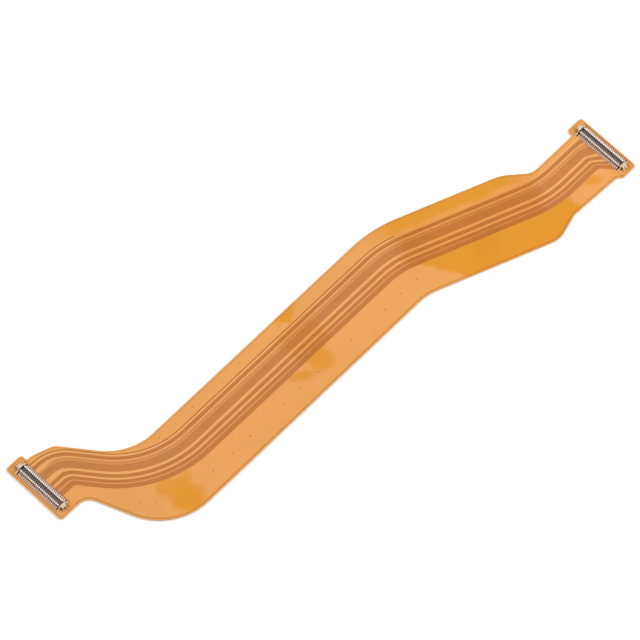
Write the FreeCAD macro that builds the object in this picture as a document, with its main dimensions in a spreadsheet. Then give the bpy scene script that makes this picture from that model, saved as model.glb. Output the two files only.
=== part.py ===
import FreeCAD, Part
import math
import os
import Sketcher

# Flat flexible circuit with a board-to-board plug at each end, lying flat.
# X runs along the straight main run, from plug A to plug B, and Z is up.
# The origin is the middle of the cable's rectangle, on the surface that it lies on.

# Sizes in millimetres, angles in degrees
SIZES = {
    # The rectangle that the cable fills, from the corner of head A to the corner of head B
    "overall_length": 109.7,
    "overall_width": 35.6,
    # Heads: the pads of film that carry the plugs
    "head_a_depth": 3.5,
    "head_a_width": 12.6,
    "head_b_depth": 3.35,
    "head_b_width": 12.4,
    "head_corner_radius": 0.5,
    "plug_a_setback": 1.9,
    "plug_b_setback": 1.62,
    # Upper edge from head A down to the main run
    "neck_a_step": 1.3,
    "neck_a_flat": 1.05,
    "neck_a_shoulder_place": 4.8,
    "neck_a_shoulder_drop": 1.3,
    "neck_a_flat_radius": 2.0,
    "neck_a_shoulder_radius": 2.0,
    "sweep_angle": 52.7,
    "sweep_radius": 10.5,
    "notch_radius": 0.2,
    # Lower edge from head A round the belly to the main run
    "belly_a_place": 2.1,
    "belly_a_angle": 68.7,
    "belly_a_entry_radius": 2.3,
    "belly_a_radius": 11.0,
    # Main run, and the run that bends away from it
    "run_width": 14.64,
    "run_shift": -2.01,
    "bent_run_width": 14.38,
    "bent_run_place": 11.2,
    "bend_angle": 21.35,
    "bend_inner_radius": 9.0,
    # Upper edge from the bent run to head B
    "shoulder_b_place": 13.4,
    "shoulder_b_radius": 8.0,
    "ledge_b_place": 9.5,
    "ledge_b_radius": 3.0,
    "neck_b_step": 1.2,
    # Lower edge from the bent run to head B
    "belly_b_place": 14.95,
    "belly_b_radius": 4.3,
    "neck_b_place": 10.1,
    "neck_b_rise": 1.15,
    "neck_b_radius": 2.0,
    "flare_b_place": 0.5,
    "flare_b_rise": 0.72,
    "flare_b_inset": 0.3,
    "flare_b_radius": 0.3,
    # Layers, from the bottom up
    "stiffener_thickness": 0.2,
    "stiffener_inset": 0.1,
    "film_thickness": 0.06,
    "copper_thickness": 0.035,
    "cover_thickness": 0.04,
    "cover_relief": 0.012,
    # Copper: the bundle of tracks and the ground areas beside it
    "copper_inset": 0.3,
    "cover_clearance": 0.05,
    "track_gap": 0.08,
    "ground_gap": 0.1,
    "power_width_1": 0.39,
    "power_width_2": 0.28,
    "power_width_3": 0.48,
    "power_width_4": 0.38,
    "power_width_5": 0.16,
    "signal_width_1": 0.47,
    "signal_width_2": 0.54,
    "signal_width_3": 1.10,
    "signal_width_4": 0.48,
    "signal_width_5": 0.44,
    "signal_width_6": 0.65,
    # Route of the bundle
    "bundle_a_shift": 0.27,
    "bundle_a_ratio": 1.19,
    "bundle_sweep_place": 3.18,
    "bundle_sweep_ratio": 0.93,
    "bundle_run_shift": 1.645,
    "bundle_bent_shift": 1.225,
    "bundle_b_shift": 1.03,
    "bundle_b_ratio": 1.36,
    "bundle_fan_place": 1.3,
    "bundle_entry_radius": 3.9,
    "bundle_sweep_radius": 18.0,
    "bundle_bend_radius": 17.9,
    "bundle_neck_radius": 18.0,
    "bundle_fan_radius": 1.0,
    # Plug: housing
    "housing_width": 1.2,
    "housing_height": 0.62,
    "housing_corner_radius": 0.12,
    "groove_width": 0.78,
    "groove_margin": 0.35,
    "groove_corner_radius": 0.08,
    "groove_floor": 0.2,
    "end_wall": 0.62,
    # Plug: contacts
    "contact_pitch": 0.35,
    "contacts_per_row": 25,
    "contact_width": 0.2,
    "contact_thickness": 0.06,
    "contact_bend": 0.06,
    "contact_floor_gap": 0.03,
    "tail_reach": 1.19,
    # Plug: hold-downs
    "hold_down_pitch": 0.5,
    "hold_down_leg_width": 0.25,
    "hold_down_thickness": 0.08,
    "hold_down_flap_width": 0.9,
    "hold_down_foot_reach": 0.3,
    "hold_down_slot_width": 0.24,
    "hold_down_slot_height": 0.3,
    # Lands and the window in the cover film
    "land_margin": 0.05,
    "land_side_margin": 0.02,
    "window_margin": 0.13,
}

# Tracks of the bundle from its upper edge to its lower edge
TRACKS = [
    ("power_track_1", "power_width_1"),
    ("signal_tracks_1", "signal_width_1"),
    ("power_track_2", "power_width_2"),
    ("signal_tracks_2", "signal_width_2"),
    ("signal_tracks_3", "signal_width_3"),
    ("power_track_3", "power_width_3"),
    ("signal_tracks_4", "signal_width_4"),
    ("power_track_4", "power_width_4"),
    ("signal_tracks_5", "signal_width_5"),
    ("power_track_5", "power_width_5"),
    ("signal_tracks_6", "signal_width_6"),
]

# Points nearer than this are one point
SHORTEST_EDGE = 1e-5

doc = FreeCAD.newDocument("flat_flex_cable")
sheet = doc.addObject("Spreadsheet::Sheet", "Sizes")
for row, (name, number) in enumerate(SIZES.items(), start=1):
    sheet.set("A%d" % row, name)
    sheet.set("B%d" % row, str(number))
    sheet.setAlias("B%d" % row, name)
doc.recompute()


def size(name):
    return float(sheet.get(name))


# Chains: lists of corners (x, y, radius), joined by straight edges and rounded by arcs

def line_between(start, end):
    """Point and unit direction of the line from one corner to the next."""
    along_x = end[0] - start[0]
    along_y = end[1] - start[1]
    reach = math.hypot(along_x, along_y)
    return start[0], start[1], along_x / reach, along_y / reach


def line_at(x, y, degrees):
    """Point and unit direction of a line through x, y at an angle to the X axis."""
    turn = math.radians(degrees)
    return x, y, math.cos(turn), math.sin(turn)


def moved_left(line, distance):
    """The same line moved sideways, to the left of its direction."""
    x, y, along_x, along_y = line
    return x - along_y * distance, y + along_x * distance, along_x, along_y


def crossing(first, second):
    """Where two lines cross."""
    x, y, along_x, along_y = first
    other_x, other_y, other_along_x, other_along_y = second
    spread = along_x * other_along_y - along_y * other_along_x
    reach = ((other_x - x) * other_along_y - (other_y - y) * other_along_x) / spread
    return x + along_x * reach, y + along_y * reach


def turn_side(before, corner, after):
    """1 where the path turns left at the corner, -1 where it turns right."""
    in_x, in_y = corner[0] - before[0], corner[1] - before[1]
    out_x, out_y = after[0] - corner[0], after[1] - corner[1]
    return math.copysign(1, in_x * out_y - in_y * out_x)


def shifted_chain(chain, distance):
    """An open chain moved to its left; its arcs keep their centres."""
    lines = [moved_left(line_between(start, end), distance) for start, end in zip(chain, chain[1:])]
    moved = [(lines[0][0], lines[0][1], chain[0][2])]
    for index in range(1, len(chain) - 1):
        before, corner, after = chain[index - 1:index + 2]
        x, y = crossing(lines[index - 1], lines[index])
        radius = max(corner[2] - turn_side(before, corner, after) * distance, 0)
        moved.append((x, y, radius))
    last_x, last_y, along_x, along_y = lines[-1]
    reach = math.dist(chain[-2][:2], chain[-1][:2])
    moved.append((last_x + along_x * reach, last_y + along_y * reach, chain[-1][2]))
    return moved


def cut_at(chain, start_x, end_x):
    """An open chain with its first and last edges run to the given X places."""
    first_x, first_y, along_x, along_y = line_between(chain[0], chain[1])
    start = (start_x, first_y + (start_x - first_x) * along_y / along_x, 0)
    last_x, last_y, along_x, along_y = line_between(chain[-2], chain[-1])
    end = (end_x, last_y + (end_x - last_x) * along_y / along_x, 0)
    return [start] + chain[1:-1] + [end]


def closed_edges(corners):
    """Lines and arcs of a closed outline whose corners are rounded."""
    wanted = [corner_tangent(corners, index) for index in range(len(corners))]
    starts = []
    ends = []
    for index, corner in enumerate(corners):
        before = corners[index - 1]
        after = corners[(index + 1) % len(corners)]
        in_x, in_y = line_between(before, corner)[2:]
        out_x, out_y = line_between(corner, after)[2:]
        tangent = wanted[index] * tangent_room(corners, wanted, index)
        starts.append(FreeCAD.Vector(corner[0] - in_x * tangent, corner[1] - in_y * tangent, 0))
        ends.append(FreeCAD.Vector(corner[0] + out_x * tangent, corner[1] + out_y * tangent, 0))
    edges = []
    for index, corner in enumerate(corners):
        following = starts[(index + 1) % len(corners)]
        if starts[index].distanceToPoint(ends[index]) > SHORTEST_EDGE:
            edges.append(corner_arc(corner, starts[index], ends[index]))
        if ends[index].distanceToPoint(following) > SHORTEST_EDGE:
            edges.append(Part.LineSegment(ends[index], following))
    return edges


def corner_tangent(corners, index):
    """How far from a corner its arc begins, at the corner's full radius."""
    corner = corners[index]
    in_x, in_y = line_between(corners[index - 1], corner)[2:]
    out_x, out_y = line_between(corner, corners[(index + 1) % len(corners)])[2:]
    cosine = max(-1.0, min(1.0, in_x * out_x + in_y * out_y))
    return corner[2] * math.tan(math.acos(cosine) / 2)


def tangent_room(corners, wanted, index):
    """Share of its radius that a corner keeps where two arcs meet on one short edge."""
    share = 1.0
    for neighbour in (index - 1, (index + 1) % len(corners)):
        edge = math.dist(corners[index][:2], corners[neighbour][:2])
        both = wanted[index] + wanted[neighbour]
        if both > edge:
            share = min(share, edge / both)
    return share


def corner_arc(corner, start, end):
    """The arc of a rounded corner, between its two tangent points."""
    apex = FreeCAD.Vector(corner[0], corner[1], 0)
    middle = (start + end) * 0.5
    inward = middle - apex
    rise = inward.Length
    inward.normalize()
    half = start.distanceToPoint(end) / 2
    tangent = apex.distanceToPoint(start)
    return Part.Arc(start, middle - inward * (half * (tangent - half) / rise), end)


# Outline of the film

def film_upper_chain():
    """Upper edge of the film from head A to head B."""
    head_a_edge = -size("overall_length") / 2 + size("head_a_depth")
    head_b_edge = size("overall_length") / 2 - size("head_b_depth")
    neck_a_y = size("overall_width") / 2 - size("neck_a_step")
    shoulder_x = head_a_edge + size("neck_a_shoulder_place")
    shoulder_y = neck_a_y - size("neck_a_shoulder_drop")
    main_line = line_at(0, size("run_shift") + size("run_width") / 2, 0)
    sweep_line = line_at(shoulder_x, shoulder_y, -size("sweep_angle"))
    sweep_x, sweep_y = crossing(sweep_line, main_line)
    bent_line = moved_left(bent_run_line(), size("bent_run_width") - size("run_width") / 2)
    bend_x, bend_y = crossing(main_line, bent_line)
    shoulder_b_x = head_b_edge - size("shoulder_b_place")
    shoulder_b_y = crossing(bent_line, line_at(shoulder_b_x, 0, 90))[1]
    neck_b_y = -size("overall_width") / 2 + size("head_b_width") - size("neck_b_step")
    return [
        (head_a_edge, neck_a_y, size("notch_radius")),
        (head_a_edge + size("neck_a_flat"), neck_a_y, size("neck_a_flat_radius")),
        (shoulder_x, shoulder_y, size("neck_a_shoulder_radius")),
        (sweep_x, sweep_y, size("sweep_radius")),
        (bend_x, bend_y, size("bend_inner_radius") + size("run_width")),
        (shoulder_b_x, shoulder_b_y, size("shoulder_b_radius")),
        (head_b_edge - size("ledge_b_place"), neck_b_y, size("ledge_b_radius")),
        (head_b_edge, neck_b_y, size("notch_radius")),
    ]


def film_lower_chain():
    """Lower edge of the film from head A to head B."""
    head_a_edge = -size("overall_length") / 2 + size("head_a_depth")
    head_b_edge = size("overall_length") / 2 - size("head_b_depth")
    head_a_y = size("overall_width") / 2 - size("head_a_width")
    head_b_y = -size("overall_width") / 2
    belly_x = head_a_edge + size("belly_a_place")
    main_line = line_at(0, size("run_shift") - size("run_width") / 2, 0)
    belly_line = line_at(belly_x, head_a_y, -size("belly_a_angle"))
    foot_x, foot_y = crossing(belly_line, main_line)
    bent_line = moved_left(bent_run_line(), -size("run_width") / 2)
    bend_x, bend_y = crossing(main_line, bent_line)
    belly_b_x = head_b_edge - size("belly_b_place")
    belly_b_y = crossing(bent_line, line_at(belly_b_x, 0, 90))[1]
    return [
        (head_a_edge, head_a_y, 0),
        (belly_x, head_a_y, size("belly_a_entry_radius")),
        (foot_x, foot_y, size("belly_a_radius")),
        (bend_x, bend_y, size("bend_inner_radius")),
        (belly_b_x, belly_b_y, size("belly_b_radius")),
        (head_b_edge - size("neck_b_place"), head_b_y + size("neck_b_rise"), size("neck_b_radius")),
        (head_b_edge - size("flare_b_place"), head_b_y + size("flare_b_rise"), size("flare_b_radius")),
        (head_b_edge + size("flare_b_inset"), head_b_y, size("flare_b_radius")),
    ]


def bent_run_line():
    """Line of the bent run, which reaches the level of plug B at a set distance before head B."""
    head_b_edge = size("overall_length") / 2 - size("head_b_depth")
    return line_at(head_b_edge - size("bent_run_place"), plug_b_place()[1], -size("bend_angle"))


def film_outline():
    """Whole outline of the film: lower edge, head B, upper edge, head A."""
    half_length = size("overall_length") / 2
    half_width = size("overall_width") / 2
    head_b_top = -half_width + size("head_b_width")
    head_a_bottom = half_width - size("head_a_width")
    corner = size("head_corner_radius")
    head_a_edge = -half_length + size("head_a_depth")
    head_b_edge = half_length - size("head_b_depth")
    head_b = [
        (half_length, -half_width, corner),
        (half_length, head_b_top, corner),
        (head_b_edge, head_b_top, corner),
    ]
    head_a = [
        (head_a_edge, half_width, corner),
        (-half_length, half_width, corner),
        (-half_length, head_a_bottom, corner),
    ]
    return film_lower_chain()[1:] + head_b + film_upper_chain()[::-1] + head_a


# Places of the plugs

def plug_a_place():
    x = -size("overall_length") / 2 + size("plug_a_setback")
    return x, (size("overall_width") - size("head_a_width")) / 2


def plug_b_place():
    x = size("overall_length") / 2 - size("plug_b_setback")
    return x, (size("head_b_width") - size("overall_width")) / 2


# Route of the bundle of tracks

def bundle_width():
    widths = [size(width_name) for node, width_name in TRACKS]
    return sum(widths) + size("track_gap") * (len(TRACKS) - 1)


def bundle_line(offset):
    """A line of the bundle, at an offset to the left of its centre line, from plug A to plug B."""
    plug_a_x, plug_a_y = plug_a_place()
    plug_b_x, plug_b_y = plug_b_place()
    head_a_edge = -size("overall_length") / 2 + size("head_a_depth")
    head_b_edge = size("overall_length") / 2 - size("head_b_depth")
    land_reach = size("tail_reach") + size("land_margin")
    entry_y = plug_a_y + size("bundle_a_shift")
    entry_line = line_at(0, entry_y + offset * size("bundle_a_ratio"), 0)
    corner_x = head_a_edge + size("bundle_sweep_place")
    sweep_line = line_at(corner_x, entry_y, -size("sweep_angle"))
    sweep_line = moved_left(sweep_line, offset * size("bundle_sweep_ratio"))
    main_line = line_at(0, size("run_shift") + size("bundle_run_shift") + offset, 0)
    bent_line = moved_left(bent_run_line(), size("bundle_bent_shift") + offset)
    neck_y = plug_b_y + size("bundle_b_shift") + offset
    neck_line = line_at(0, neck_y, 0)
    end_y = plug_b_y + offset * size("bundle_b_ratio")
    return [
        (plug_a_x + land_reach, entry_line[1], 0),
        (*crossing(entry_line, sweep_line), size("bundle_entry_radius") + offset),
        (*crossing(sweep_line, main_line), size("bundle_sweep_radius") - offset),
        (*crossing(main_line, bent_line), size("bundle_bend_radius") + offset),
        (*crossing(bent_line, neck_line), size("bundle_neck_radius") - offset),
        (head_b_edge - size("bundle_fan_place"), neck_y, size("bundle_fan_radius")),
        (plug_b_x - land_reach, end_y, 0),
    ]


def track_outlines():
    """Outline of each track, from the upper edge of the bundle to its lower edge."""
    outlines = {}
    upper = bundle_width() / 2
    for node, width_name in TRACKS:
        lower = upper - size(width_name)
        outlines[node] = bundle_line(lower) + bundle_line(upper)[::-1]
        upper = lower - size("track_gap")
    return outlines


def bundle_outline():
    """Outline round all the tracks together."""
    edge = bundle_width() / 2
    return bundle_line(-edge) + bundle_line(edge)[::-1]


def ground_ends():
    """X places where the ground copper stops beside the windows."""
    window_half = size("tail_reach") + size("land_margin") + size("window_margin")
    return plug_a_place()[0] + window_half, plug_b_place()[0] - window_half


def ground_outlines():
    """Outlines of the ground copper above and below the bundle."""
    start_x, end_x = ground_ends()
    edge = bundle_width() / 2 + size("ground_gap")
    upper_film = shifted_chain(film_upper_chain(), -size("copper_inset"))
    lower_film = shifted_chain(film_lower_chain(), size("copper_inset"))
    above = cut_at(bundle_line(edge), start_x, end_x)
    below = cut_at(bundle_line(-edge), start_x, end_x)
    return {
        "ground_copper_upper": above + cut_at(upper_film, start_x, end_x)[::-1],
        "ground_copper_lower": cut_at(lower_film, start_x, end_x) + below[::-1],
    }


def copper_recess_outline():
    """Outline of the shallow recess under the cover film that holds the copper."""
    start_x, end_x = ground_ends()
    inset = size("copper_inset") - size("cover_clearance")
    start_x -= size("window_margin")
    end_x += size("window_margin")
    upper = cut_at(shifted_chain(film_upper_chain(), -inset), start_x, end_x)
    lower = cut_at(shifted_chain(film_lower_chain(), inset), start_x, end_x)
    return lower + upper[::-1]


# Places as expressions of the sheet's sizes

PLUG_X = {
    "a": "(-Sizes.overall_length / 2 + Sizes.plug_a_setback)",
    "b": "(Sizes.overall_length / 2 - Sizes.plug_b_setback)",
}
PLUG_Y = {
    "a": "((Sizes.overall_width - Sizes.head_a_width) / 2)",
    "b": "((Sizes.head_b_width - Sizes.overall_width) / 2)",
}
FILM_Z = "Sizes.stiffener_thickness"
COPPER_Z = "Sizes.stiffener_thickness + Sizes.film_thickness"
PLUG_Z = "Sizes.stiffener_thickness + Sizes.film_thickness + Sizes.copper_thickness"
HALF_ROW = "((Sizes.contacts_per_row - 1) * Sizes.contact_pitch / 2)"
HALF_GROOVE = "(%s + Sizes.groove_margin)" % HALF_ROW
HALF_HOUSING = "(%s + Sizes.end_wall)" % HALF_GROOVE
LEG_PLACE = "(%s + Sizes.hold_down_pitch)" % HALF_ROW
LAND_REACH = "(Sizes.tail_reach + Sizes.land_margin)"
LEG_LAND_HALF = "(Sizes.hold_down_leg_width / 2 + Sizes.land_margin)"
FOOT_END = "(%s + Sizes.hold_down_foot_reach)" % HALF_HOUSING


# Sketches and features

def new_body(label):
    body = doc.addObject("PartDesign::Body", label)
    body.Label = label
    return body


def place(body, x="0", y="0", z="0"):
    body.setExpression("Placement.Base.x", x)
    body.setExpression("Placement.Base.y", y)
    body.setExpression("Placement.Base.z", z)


def origin_part(body, role):
    return next(part for part in body.Origin.OriginFeatures if part.Role == role)


def new_sketch(body, name, role="XY_Plane", rise=None):
    """Sketch on an origin plane of the body, raised along the plane's normal where wanted."""
    sketch = body.newObject("Sketcher::SketchObject", name)
    sketch.AttachmentSupport = [(origin_part(body, role), "")]
    sketch.MapMode = "FlatFace"
    if rise:
        sketch.setExpression("AttachmentOffset.Base.z", rise)
    return sketch


def add_outlines(sketch, outlines):
    """Rounded outlines, laid out from the sheet's sizes."""
    for corners in outlines:
        sketch.addGeometry(closed_edges(corners), False)


def add_polygon(sketch, corners):
    """Closed polygon, drawn round a circle, whose corners two expressions each then set."""
    first = sketch.GeometryCount
    turns = [math.tau * index / len(corners) for index in range(len(corners))]
    points = [FreeCAD.Vector(math.cos(turn), math.sin(turn), 0) for turn in turns]
    for index, point in enumerate(points):
        sketch.addGeometry(Part.LineSegment(point, points[(index + 1) % len(points)]), False)
    for index, corner in enumerate(corners):
        line = first + index
        following = first + (index + 1) % len(points)
        sketch.addConstraint(Sketcher.Constraint("Coincident", line, 2, following, 1))
        for kind, number, expression in zip(("DistanceX", "DistanceY"), points[index], corner):
            bound = sketch.addConstraint(Sketcher.Constraint(kind, -1, 1, line, 1, number))
            sketch.setExpression("Constraints[%d]" % bound, expression)


def add_rectangle(sketch, left, right, low, high):
    add_polygon(sketch, [(left, low), (right, low), (right, high), (left, high)])


def pad(body, sketch, length, middle=False):
    feature = body.newObject("PartDesign::Pad", "Pad")
    feature.Profile = sketch
    feature.Midplane = middle
    feature.setExpression("Length", length)
    doc.recompute()
    return feature


def pocket_up(body, sketch, length=None):
    """Cut from the sketch upwards, by a length or through all, and see that it removed material."""
    before = body.Shape.Volume
    feature = body.newObject("PartDesign::Pocket", "Pocket")
    feature.Profile = sketch
    feature.Reversed = True
    if length:
        feature.setExpression("Length", length)
    else:
        feature.Type = "ThroughAll"
    doc.recompute()
    if not feature.Shape.Volume < before:
        raise RuntimeError("a pocket of %s cut nothing" % body.Label)
    return feature


def fillet_uprights(body, radius, low, high, half_width):
    """Round the upright edges that stand between two heights and within a distance of the middle."""
    solid = body.Tip
    edges = []
    for index, edge in enumerate(solid.Shape.Edges, start=1):
        box = edge.BoundBox
        upright = box.XLength + box.YLength < SHORTEST_EDGE
        inside = box.ZMin > low - SHORTEST_EDGE and box.ZMax < high + SHORTEST_EDGE
        if upright and inside and abs(box.XMin) < half_width + SHORTEST_EDGE:
            edges.append("Edge%d" % index)
    feature = body.newObject("PartDesign::Fillet", "Fillet")
    feature.Base = (solid, edges)
    feature.setExpression("Radius", radius)
    doc.recompute()


def repeat_along_row(body, feature):
    """Repeat a feature at the contact pitch, along Y, for one row."""
    pattern = body.newObject("PartDesign::LinearPattern", "LinearPattern")
    pattern.Originals = [feature]
    pattern.Direction = (origin_part(body, "Y_Axis"), [""])
    pattern.setExpression("Length", "(Sizes.contacts_per_row - 1) * Sizes.contact_pitch")
    pattern.setExpression("Occurrences", "Sizes.contacts_per_row")
    body.Tip = pattern
    doc.recompute()


# Sub-parts

def stiffener(plug, left, right, low, high):
    """Plate glued under a head, a little inside the film's edge, with rounded corners."""
    body = new_body("stiffener_" + plug)
    sketch = new_sketch(body, "Outline")
    more = " + Sizes.stiffener_inset"
    less = " - Sizes.stiffener_inset"
    add_rectangle(sketch, left + more, right + less, low + more, high + less)
    pad(body, sketch, "Sizes.stiffener_thickness")
    radius = "Sizes.head_corner_radius - Sizes.stiffener_inset"
    fillet_uprights(body, radius, 0, size("stiffener_thickness"), size("overall_length"))


def base_film():
    body = new_body("base_film")
    place(body, z=FILM_Z)
    sketch = new_sketch(body, "Outline")
    add_outlines(sketch, [film_outline()])
    pad(body, sketch, "Sizes.film_thickness")


def copper_area(label, corners):
    """A track or a ground area, etched from the one foil."""
    body = new_body(label)
    place(body, z=COPPER_Z)
    sketch = new_sketch(body, "Outline")
    add_outlines(sketch, [corners])
    pad(body, sketch, "Sizes.copper_thickness")


def cover_film():
    """Clear film over the copper: recessed below for it, raised a little above it, open at the plugs."""
    body = new_body("cover_film")
    place(body, z=COPPER_Z)
    plate = new_sketch(body, "Outline")
    add_outlines(plate, [film_outline()])
    pad(body, plate, "Sizes.copper_thickness + Sizes.cover_thickness")
    relief = new_sketch(body, "Relief")
    add_outlines(relief, [bundle_outline(), *ground_outlines().values()])
    pad(body, relief, "Sizes.copper_thickness + Sizes.cover_thickness + Sizes.cover_relief")
    recess = new_sketch(body, "Recess")
    add_outlines(recess, [copper_recess_outline()])
    pocket_up(body, recess, "Sizes.copper_thickness")
    windows = new_sketch(body, "Windows")
    for plug in ("a", "b"):
        add_polygon(windows, window_corners(plug))
    pocket_up(body, windows)


def window_corners(plug):
    """Cross-shaped window in the cover film, round the contact tails and the hold-down feet."""
    side = "(%s + Sizes.window_margin)" % LAND_REACH
    row_end = "(%s + %s + Sizes.window_margin)" % (LEG_PLACE, LEG_LAND_HALF)
    waist = "(Sizes.housing_width / 2 + Sizes.window_margin)"
    foot_end = "(%s + Sizes.land_margin + Sizes.window_margin)" % FOOT_END
    quarter = [(side, row_end), (waist, row_end), (waist, foot_end)]
    corners = []
    for across, up, order in ((1, 1, 1), (-1, 1, -1), (-1, -1, 1), (1, -1, -1)):
        for x, y in quarter[::order]:
            corner_x = "%s + %d * %s" % (PLUG_X[plug], across, x)
            corner_y = "%s + %d * %s" % (PLUG_Y[plug], up, y)
            corners.append((corner_x, corner_y))
    return corners


def lands(plug):
    """Bare copper under the tails, the end legs and the feet of a plug."""
    body = new_body("lands_" + plug)
    place(body, PLUG_X[plug], "%s - %s" % (PLUG_Y[plug], HALF_ROW), COPPER_Z)
    inner = "Sizes.housing_width / 2"
    half_land = "(Sizes.contact_width / 2 + Sizes.land_side_margin)"
    pair = new_sketch(body, "LandPair")
    add_rectangle(pair, inner, LAND_REACH, "-" + half_land, half_land)
    add_rectangle(pair, "-" + LAND_REACH, "-" + inner, "-" + half_land, half_land)
    repeat_along_row(body, pad(body, pair, "Sizes.copper_thickness"))
    ends = new_sketch(body, "EndLands")
    foot_inner = "(Sizes.hold_down_slot_width / 2 - Sizes.land_side_margin)"
    foot_outer = "(Sizes.hold_down_flap_width / 2 + Sizes.land_margin)"
    for across in ("", "-"):
        for up in (1, -1):
            leg = "%s + %d * %s" % (HALF_ROW, up, LEG_PLACE)
            leg_low = "%s - %s" % (leg, LEG_LAND_HALF)
            leg_high = "%s + %s" % (leg, LEG_LAND_HALF)
            add_rectangle(ends, across + inner, across + LAND_REACH, leg_low, leg_high)
            foot_low = "%s + %d * %s" % (HALF_ROW, up, HALF_HOUSING)
            foot_high = "%s + %d * (%s + Sizes.land_margin)" % (HALF_ROW, up, FOOT_END)
            add_rectangle(ends, across + foot_inner, across + foot_outer, foot_low, foot_high)
    pad(body, ends, "Sizes.copper_thickness")


def housing(plug):
    """Moulded U-section of a plug: long groove between two walls, closed by the end walls."""
    body = new_body("housing_" + plug)
    place(body, PLUG_X[plug], PLUG_Y[plug], PLUG_Z)
    half_width = "Sizes.housing_width / 2"
    half_groove = "Sizes.groove_width / 2"
    block = new_sketch(body, "Block")
    add_rectangle(block, "-" + half_width, half_width, "-" + HALF_HOUSING, HALF_HOUSING)
    pad(body, block, "Sizes.housing_height")
    top = size("housing_height")
    fillet_uprights(body, "Sizes.housing_corner_radius", 0, top, size("housing_width") / 2)
    groove = new_sketch(body, "Groove", rise="Sizes.groove_floor")
    add_rectangle(groove, "-" + half_groove, half_groove, "-" + HALF_GROOVE, HALF_GROOVE)
    pocket_up(body, groove)
    low = size("groove_floor")
    fillet_uprights(body, "Sizes.groove_corner_radius", low, top, size("groove_width") / 2)


def contact_row(label, plug, across):
    """Row of formed contacts: soldered tail, outer leg, bridge over the wall and leg in the groove."""
    body = new_body(label)
    place(body, PLUG_X[plug], "%s - %s" % (PLUG_Y[plug], HALF_ROW), PLUG_Z)
    outer = "Sizes.housing_width / 2"
    inner = "Sizes.groove_width / 2"
    sheet_metal = "Sizes.contact_thickness"
    top = "Sizes.housing_height"
    foot = "Sizes.groove_floor + Sizes.contact_floor_gap"
    bend = "Sizes.contact_bend"
    outer_skin = "%s + %s" % (outer, sheet_metal)
    inner_skin = "%s - %s" % (inner, sheet_metal)
    top_skin = "%s + %s" % (top, sheet_metal)
    section = [
        ("Sizes.tail_reach", "0"),
        ("Sizes.tail_reach", sheet_metal),
        (outer_skin, sheet_metal),
        (outer_skin, top_skin + " - " + bend),
        (outer_skin + " - " + bend, top_skin),
        (inner_skin + " + " + bend, top_skin),
        (inner_skin, top_skin + " - " + bend),
        (inner_skin, foot),
        (inner, foot),
        (inner, top),
        (outer, top),
        (outer, "0"),
    ]
    profile = new_sketch(body, "Section", "XZ_Plane")
    add_polygon(profile, [("%d * (%s)" % (across, x), z) for x, z in section])
    repeat_along_row(body, pad(body, profile, "Sizes.contact_width", middle=True))


def hold_down(label, plug, up):
    """Formed metal saddle over an end wall, with a leg on each side and a split foot at the end."""
    body = new_body(label)
    place(body, PLUG_X[plug], "%s + %d * %s" % (PLUG_Y[plug], up, LEG_PLACE), PLUG_Z)
    wall = "Sizes.housing_width / 2"
    metal = "Sizes.hold_down_thickness"
    top = "Sizes.housing_height"
    skin = "%s + %s" % (wall, metal)
    top_skin = "%s + %s" % (top, metal)
    side = [("Sizes.tail_reach", "0"), ("Sizes.tail_reach", metal), (skin, metal), (skin, top_skin)]
    inside = [(wall, "0"), (wall, top)]
    saddle = side + [("-(%s)" % x, z) for x, z in side[::-1]]
    saddle += [("-(%s)" % x, z) for x, z in inside]
    saddle += inside[::-1]
    profile = new_sketch(body, "Saddle", "XZ_Plane")
    add_polygon(profile, saddle)
    pad(body, profile, "Sizes.hold_down_leg_width", middle=True)
    end_face = "(Sizes.groove_margin + Sizes.end_wall - Sizes.hold_down_pitch)"
    foot_end = "(%s + Sizes.hold_down_foot_reach)" % end_face
    end_skin = "(%s + %s)" % (end_face, metal)
    flap = [
        ("0", top), ("0", top_skin), (end_skin, top_skin), (end_skin, metal),
        (foot_end, metal), (foot_end, "0"), (end_face, "0"), (end_face, top),
    ]
    flap_profile = new_sketch(body, "Flap", "YZ_Plane")
    add_polygon(flap_profile, [("%d * %s" % (up, y), z) for y, z in flap])
    pad(body, flap_profile, "Sizes.hold_down_flap_width", middle=True)
    slot = new_sketch(body, "Slot")
    half_slot = "Sizes.hold_down_slot_width / 2"
    near = "%d * %s" % (up, end_face)
    far = "%d * (%s + Sizes.land_margin)" % (up, foot_end)
    add_rectangle(slot, "-" + half_slot, half_slot, near, far)
    pocket_up(body, slot, "Sizes.hold_down_slot_height")


def build():
    stiffener(
        "a", "-Sizes.overall_length / 2", "-Sizes.overall_length / 2 + Sizes.head_a_depth",
        "Sizes.overall_width / 2 - Sizes.head_a_width", "Sizes.overall_width / 2",
    )
    stiffener(
        "b", "Sizes.overall_length / 2 - Sizes.head_b_depth", "Sizes.overall_length / 2",
        "-Sizes.overall_width / 2", "-Sizes.overall_width / 2 + Sizes.head_b_width",
    )
    base_film()
    for label, corners in list(track_outlines().items()) + list(ground_outlines().items()):
        copper_area(label, corners)
    cover_film()
    for plug, inner_side in (("a", 1), ("b", -1)):
        lands(plug)
        housing(plug)
        contact_row("contacts_%s_inner" % plug, plug, inner_side)
        contact_row("contacts_%s_outer" % plug, plug, -inner_side)
        hold_down("hold_down_%s_upper" % plug, plug, 1)
        hold_down("hold_down_%s_lower" % plug, plug, -1)


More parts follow.
